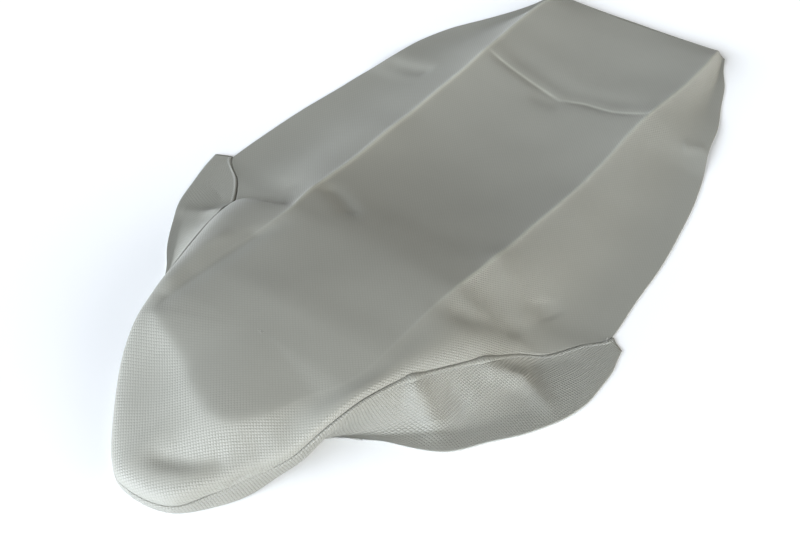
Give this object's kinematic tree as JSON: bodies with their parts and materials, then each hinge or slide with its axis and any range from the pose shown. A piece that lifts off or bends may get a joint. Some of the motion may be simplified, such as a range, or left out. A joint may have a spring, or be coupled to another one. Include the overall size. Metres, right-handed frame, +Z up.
{
  "type": "motorcycle seat cover",
  "caption": "Long motorcycle seat cover in embossed grey vinyl, lying open side down, with a domed nose, creased top edges and sewn front gussets.",
  "frame": {"origin": "middle of the cover's plan on the surface it lies on", "axes": "+Y along the cover from the nose to the tail, +Z up, +X to the rider's left"},
  "size_m": [0.452, 0.7879, 0.0515],
  "materials": {
    "vinyl": "semi-matte grey vinyl embossed with a fine square grain",
    "thread": "light grey sewing thread"
  },
  "bodies": {
    "root": {"main_panel": "vinyl", "left_front_gusset": "vinyl", "right_front_gusset": "vinyl"}
  },
  "joints": []
}
